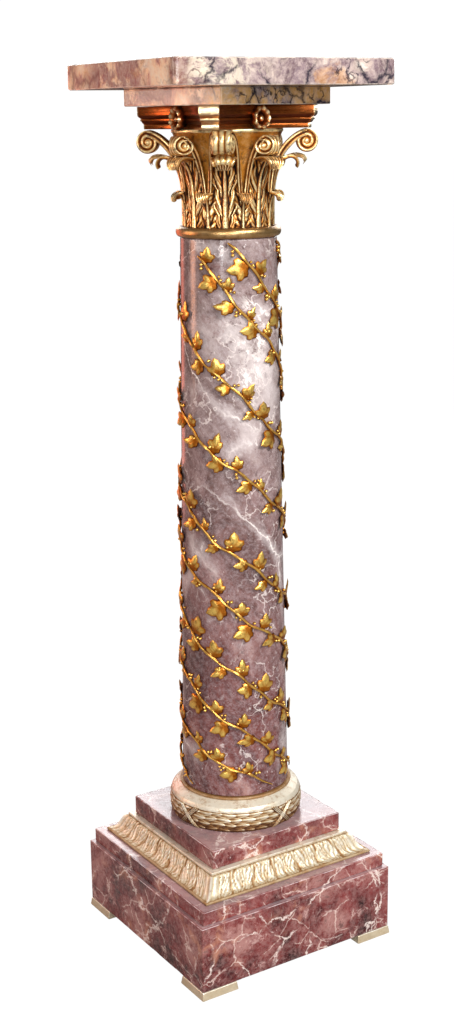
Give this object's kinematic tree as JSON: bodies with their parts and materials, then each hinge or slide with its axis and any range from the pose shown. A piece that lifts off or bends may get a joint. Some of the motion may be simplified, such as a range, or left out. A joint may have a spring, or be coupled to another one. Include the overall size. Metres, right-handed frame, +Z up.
{
  "type": "marble pedestal column",
  "caption": "Round marble column on a square stepped base with brass feet, gilt leaf moulding, laurel ring, wound ivy strands, leafy capital and a square marble top.",
  "frame": {"origin": "on the floor under the column's axis, at the underside of the feet", "axes": "+Z up along the column's axis; X and Y are square to the sides of the base block"},
  "size_m": [0.3142, 0.3142, 1.161],
  "materials": {
    "red_marble": "polished deep red marble with pink and white veins",
    "shaft_marble": "polished mauve grey marble with pale clouds and thin white veins",
    "top_marble": "polished breccia marble, cream, tan and lavender with plum veins",
    "base_gilt": "pale gilt bronze, dull in the relief and bright on the high places",
    "ivy_gilt": "bright yellow gilding over orange-brown hollows",
    "capital_gilt": "antique gilt bronze with dark brown hollows",
    "feet": "polished pale brass"
  },
  "bodies": {
    "root": {"foot_front_left": "feet", "foot_front_right": "feet", "foot_back_left": "feet", "foot_back_right": "feet", "base_block": "red_marble", "base_step": "red_marble", "upper_plinth": "red_marble", "leaf_moulding": "base_gilt", "laurel_ring": "base_gilt", "shaft": "shaft_marble", "ivy_garland_1": "ivy_gilt", "ivy_garland_2": "ivy_gilt", "ivy_garland_3": "ivy_gilt", "ivy_garland_4": "ivy_gilt", "neck_ring": "capital_gilt", "capital": "capital_gilt", "abacus": "capital_gilt", "under_slab": "top_marble", "top_slab": "top_marble"}
  },
  "joints": []
}
